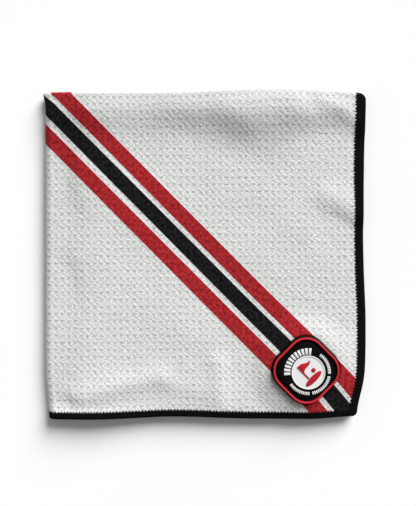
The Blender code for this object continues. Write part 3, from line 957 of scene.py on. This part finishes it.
def cloth_material():
    n = Nodes("printed_waffle_microfibre")
    place = n.attribute("cloth_place")
    pile = n.loops(place, PILE_LEAN, PILE_LENGTH, PILE_WIDTH)
    fibre = n.noise(place, FIBRE_SCALE, roughness=0.6)
    # The painted light and shade of the weave is multiplied into the printed colour.
    shade = painted_weave_light(n, pile, fibre)
    painted_light_tint = n.tree.nodes.new("ShaderNodeCombineColor")
    for socket in painted_light_tint.inputs[:3]:
        n.put(socket, shade)
    n.feed("Base Color", n.mix(1.0, printed_colour(n, place), painted_light_tint.outputs[0], "MULTIPLY"))
    n.set(Roughness=0.95, Specular_IOR_Level=0.05, Sheen_Weight=0.02, Sheen_Roughness=0.5)
    n.bump(n.less(n.times(fibre, 0.5), pile), CLOTH_GRAIN)
    return n.material


def thread_material(name, colour):
    n = Nodes(name)
    fine = n.noise(n.object_place(), THREAD_SCALE, roughness=0.6)
    n.feed("Base Color", n.between(fine, varied(colour, *THREAD_RANGE)))
    n.set(Roughness=0.85, Specular_IOR_Level=0.06)
    n.bump(fine, THREAD_GRAIN)
    return n.material


def rubber_material(name, colour, vary=0.08, specular=0.2):
    n = Nodes(name)
    place = n.object_place()
    cloud, fine = n.noise(place, RUBBER_CLOUD_SCALE), n.noise(place, RUBBER_SCALE, roughness=0.6)
    n.feed("Base Color", n.between(cloud, varied(colour, 1 - vary, 1 + vary)))
    n.feed("Roughness", n.range(fine, 0.2, 0.8, *RUBBER_ROUGHNESS))
    n.set(Specular_IOR_Level=specular)
    n.bump(fine, RUBBER_GRAIN)
    return n.material


def felt_material():
    n = Nodes("backing_felt_grey")
    fine = n.noise(n.object_place(), FELT_SCALE, 3, 0.7)
    n.feed("Base Color", n.between(fine, FELT))
    n.set(Roughness=0.95, Specular_IOR_Level=0.1)
    n.bump(fine, FELT_GRAIN)
    return n.material


def nickel_material():
    n = Nodes("nickel_plated_magnet")
    fine = n.noise(n.object_place(), NICKEL_SCALE, 3, 0.6)
    n.feed("Base Color", n.between(fine, NICKEL))
    n.feed("Roughness", n.range(fine, 0.2, 0.8, *NICKEL_ROUGHNESS))
    n.set(Metallic=1.0)
    return n.material


def floor_material():
    n = Nodes("pale_table")
    n.feed("Base Color", n.between(n.noise(n.object_place(), FLOOR_SCALE), FLOOR))
    n.set(Roughness=0.9, Specular_IOR_Level=0.0)
    return n.material


# Scene ------------------------------------------------------------------------------------------------

CAMERA_DISTANCE = 0.47  # above the cloth, in metres
FRAME_HEIGHT = 0.3213  # metres of the cloth's plane across the picture's long side
CAMERA_PLACE = (2.6 * MM, 1.6 * MM)  # over the towel's middle, nearly
SUN_STRENGTH, SUN_WIDTH = 4.96, math.radians(40)
SUN_SIDE = (0.54, 0.84, 0.6)  # direction to the light: from the upper right, rather low
FILL_STRENGTH = 0.25
# Every layer of the back half, with its thread, is below the first of these heights, and every layer of
# the front half above the second: only the cloth round the left crease turns between them.
BLEND_START, BLEND_END = MIDDLE - 0.29 * MM, MIDDLE - 0.15 * MM


def paint(obj, material):
    obj.data.materials.clear()
    obj.data.materials.append(material)


def make_floor():
    bpy.ops.mesh.primitive_plane_add(size=4)
    floor = bpy.context.object
    floor.name = "floor"
    paint(floor, floor_material())


def make_camera():
    """Straight down on the towel, as far off as the patch's visible wall says."""
    camera = bpy.data.cameras.new("camera")
    camera.sensor_width = 36
    camera.lens = camera.sensor_width * CAMERA_DISTANCE / FRAME_HEIGHT
    camera.clip_start = 0.01
    made = linked("camera", camera)
    made.location = (*CAMERA_PLACE, CLOTH_TOP + CAMERA_DISTANCE)
    bpy.context.scene.camera = made


def make_lights():
    sun = bpy.data.lights.new("key", "SUN")
    sun.energy = SUN_STRENGTH
    sun.angle = SUN_WIDTH
    linked("key", sun).rotation_euler = Vector(SUN_SIDE).to_track_quat("Z", "Y").to_euler()
    world = bpy.data.worlds.new("studio")
    world.use_nodes = True
    world.node_tree.nodes["Background"].inputs["Color"].default_value = rgb(1, 1, 1)
    world.node_tree.nodes["Background"].inputs["Strength"].default_value = FILL_STRENGTH
    bpy.context.scene.world = world
    bpy.context.scene.view_settings.view_transform = "Standard"


def main():
    make_camera()
    make_lights()
    make_floor()

    cloth = make_cloth()
    band = make_band()
    thread = make_needle_thread()
    paint(cloth, cloth_material())
    paint(band, thread_material("black_looper_thread", LOOPER_BLACK))
    paint(thread, thread_material("black_needle_thread", NEEDLE_BLACK))
    start, end = Vector((LEFT, 0, BLEND_START)), Vector((LEFT, 0, BLEND_END))
    for piece in (cloth, band, thread):
        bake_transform(piece)
        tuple(start)
        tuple(end)
    nodes = sorted(frame["nodes"])
    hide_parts("cloth_back_half", "cloth_front_half")
    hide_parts(*[node for node in nodes if node.startswith("edge_band")])
    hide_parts(*[node for node in nodes if node.startswith("seam_thread")])

    finishes = {
        "black_soft_rubber": rubber_material("black_soft_rubber", RUBBER_BLACK, specular=0.08),
        "red_soft_rubber": rubber_material("red_soft_rubber", RUBBER_RED),
        "white_soft_rubber": rubber_material("white_soft_rubber", RUBBER_WHITE, vary=0.02),
        "needle_thread": thread_material("patch_thread", PATCH_THREAD_BLACK),
    }
    motif_red = rubber_material("red_motif_rubber", MOTIF_RED)
    for piece, slot, node in make_patch():
        paint(piece, motif_red if piece.name.startswith("motif") else finishes[slot])
        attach(piece, "front_half")
        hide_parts(node)
    paint(frame["nodes"]["patch_backing"], felt_material())
    paint(frame["nodes"]["magnet_disc"], nickel_material())


main()
